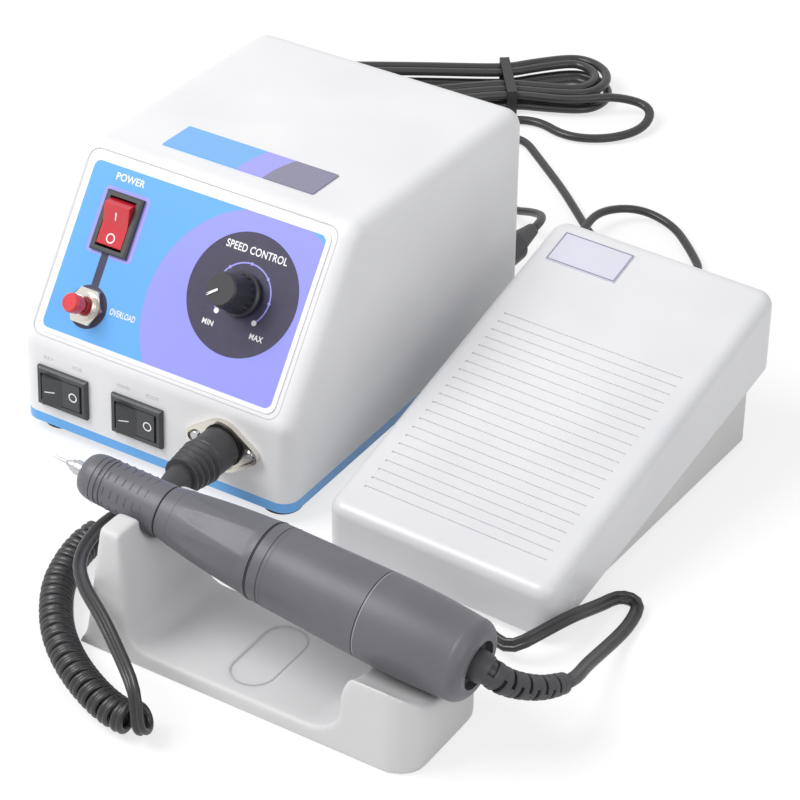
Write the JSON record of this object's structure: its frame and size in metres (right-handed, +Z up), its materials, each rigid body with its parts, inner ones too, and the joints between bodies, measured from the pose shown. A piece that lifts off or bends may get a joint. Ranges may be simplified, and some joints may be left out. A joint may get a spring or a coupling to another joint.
{
  "type": "dental laboratory micromotor",
  "caption": "Tabletop micromotor set: sloping control unit, motor handpiece lying in its cradle, curly cord, treadle foot pedal and a tied mains cord.",
  "frame": {"origin": "under the middle of the box round the control unit, cradle, handpiece and pedal, without the cords and what is on them, on the table top", "axes": "+X to the right along the control unit's front, +Y to the rear, +Z up"},
  "size_m": [0.2933, 0.4497, 0.0943],
  "materials": {
    "white_case": "satin moulded",
    "blue_rim": "satin moulded",
    "black_rubber": "matte",
    "steel": "brushed",
    "panel_film": "printed film",
    "top_film": "printed film",
    "black_switch": "fine grain",
    "black_rocker": "satin",
    "red_rocker": "glossy translucent",
    "red_button": "glossy",
    "nickel": "nickel plate",
    "black_knob": "satin",
    "aluminium": "turned",
    "dark_insert": "matte",
    "grey_rubber": "satin",
    "iron_core": "varnished sheets",
    "copper_winding": "taped winding",
    "green_board": "lacquered",
    "grey_handpiece": "satin lacquer",
    "pale_plastic": "fine grain",
    "treadle_white": "satin moulded",
    "plate_film": "printed film",
    "cord_grey": "satin",
    "black_plastic": "satin",
    "magnet": "plain"
  },
  "bodies": {
    "set": {"case_shell": "white_case", "base_tray": "blue_rim", "unit_feet": "black_rubber", "base_screws": "steel", "panel_label": "panel_film", "top_label": "top_film", "power_switch": "black_switch", "direction_switch": "black_switch", "mode_switch": "black_switch", "breaker": "black_plastic", "breaker_nut": "nickel", "potentiometer": "steel", "socket_flange": "nickel", "flange_screws": "steel", "socket_insert": "dark_insert", "cord_plug": "nickel", "plug_boot": "grey_rubber", "transformer_core": "iron_core", "transformer_winding": "copper_winding", "circuit_board": "green_board", "fuse_holder": "black_plastic", "mains_gland": "black_plastic", "pedal_jack": "black_plastic", "pedal_plug": "grey_rubber", "cradle": "pale_plastic", "pedal_base": "pale_plastic", "hinge_pin": "steel", "pedal_feet": "black_rubber", "pedal_sensor": "black_plastic", "pedal_gland": "grey_rubber", "pedal_spring": "steel", "handpiece_coil": "cord_grey", "handpiece_cord_lead": "cord_grey", "handpiece_cord_tail": "cord_grey", "pedal_cord": "cord_grey", "hank_tie": "black_plastic", "mains_cord": "cord_grey", "mains_hank": "cord_grey", "mains_plug": "black_plastic"},
    "power_rocker": {"power_rocker": "red_rocker"},
    "direction_rocker": {"direction_rocker": "black_rocker"},
    "mode_rocker": {"mode_rocker": "black_rocker"},
    "reset_button": {"reset_button": "red_button"},
    "speed_knob": {"speed_knob": "black_knob", "pot_shaft": "aluminium"},
    "treadle": {"pedal_treadle": "treadle_white", "pedal_plate": "plate_film"},
    "handpiece": {"front_sleeve": "grey_handpiece", "nose_cap": "steel", "motor_housing": "grey_handpiece", "rear_sleeve": "grey_handpiece", "field_magnets": "magnet", "ball_bearings": "steel", "bearing_plates": "aluminium", "strain_relief": "grey_rubber"},
    "twist_grip": {"twist_grip": "grey_handpiece"},
    "spindle": {"spindle": "steel", "collet": "steel", "rotor": "iron_core"},
    "bur": {"bur": "steel"}
  },
  "joints": [
    {"name": "power_switching", "type": "hinge", "parent": "set", "child": "power_rocker", "pos_m": [-0.09445, -0.01707, 0.07405], "axis": [1, 0, 0], "range_deg": [-22, 0]},
    {"name": "direction_switching", "type": "hinge", "parent": "set", "child": "direction_rocker", "pos_m": [-0.10015, -0.04382, 0.02043], "axis": [0, 0.0445, 0.999], "range_deg": [-22, 0]},
    {"name": "mode_switching", "type": "hinge", "parent": "set", "child": "mode_rocker", "pos_m": [-0.06881, -0.04382, 0.02043], "axis": [0, 0.0445, 0.999], "range_deg": [-22, 0]},
    {"name": "reset_press", "type": "slide", "parent": "set", "child": "reset_button", "axis": [0, 0.8105, -0.5857], "range_m": [0, 0.0025], "stiffness_N_per_m": 600, "springref_m": -0.002},
    {"name": "speed_turn", "type": "hinge", "parent": "set", "child": "speed_knob", "pos_m": [-0.04045, -0.02266, 0.06785], "axis": [0, -0.8105, 0.5857], "range_deg": [-262.6, 7.4]},
    {"name": "treadle_press", "type": "hinge", "parent": "set", "child": "treadle", "pos_m": [0.05343, -0.03843, 0.0107], "axis": [0.9993, -0.0366, 0], "range_deg": [-8, 0], "stiffness_Nm_per_rad": 3, "springref_deg": 10.03, "deforming": ["pedal_spring"]},
    {"name": "handpiece_lift", "type": "slide", "parent": "set", "child": "handpiece", "axis": [0, 0, 1], "range_m": [0, 0.06]},
    {"name": "grip_turn", "type": "hinge", "parent": "handpiece", "child": "twist_grip", "pos_m": [-0.04555, -0.10875, 0.0488], "axis": [0.9953, 0, -0.0967], "range_deg": [0, 35]},
    {"name": "spindle_spin", "type": "hinge", "parent": "handpiece", "child": "spindle", "pos_m": [-0.04555, -0.10875, 0.0488], "axis": [0.9953, 0, -0.0967], "continuous": true},
    {"name": "bur_pull", "type": "slide", "parent": "spindle", "child": "bur", "axis": [-0.9953, 0, 0.0967], "range_m": [0, 0.025]}
  ]
}
